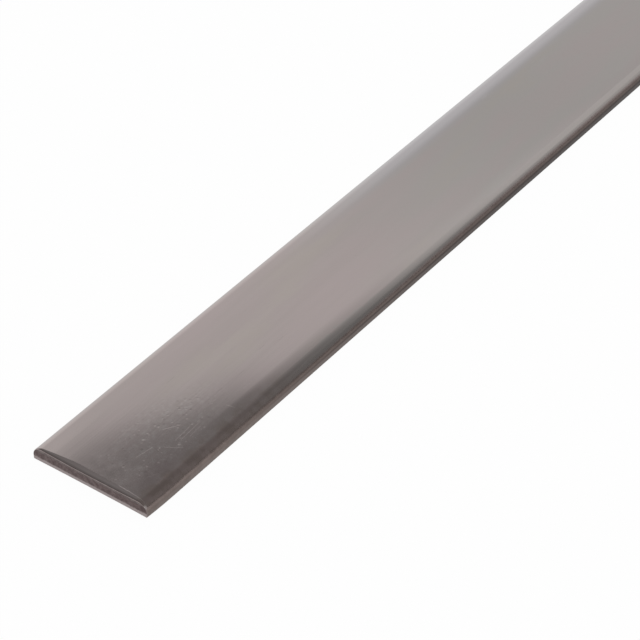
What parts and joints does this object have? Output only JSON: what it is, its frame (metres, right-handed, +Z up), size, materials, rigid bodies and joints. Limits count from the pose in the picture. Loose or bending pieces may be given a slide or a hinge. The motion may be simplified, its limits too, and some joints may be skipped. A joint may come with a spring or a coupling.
{
  "type": "flat bar",
  "caption": "Rolled steel flat bar with rounded edges, cropped to length by a shear at both ends.",
  "frame": {"origin": "under the middle of the bar, on the face that it rests on", "axes": "+X along the bar, +Y across it, +Z up through its thickness"},
  "size_m": [1, 0.025, 0.003],
  "materials": {
    "flat_bar": "smooth rolled steel with a soft gloss, lightly scuffed, darker on its edges and cropped ends"
  },
  "bodies": {
    "root": {"flat_bar": "flat_bar"}
  },
  "joints": []
}
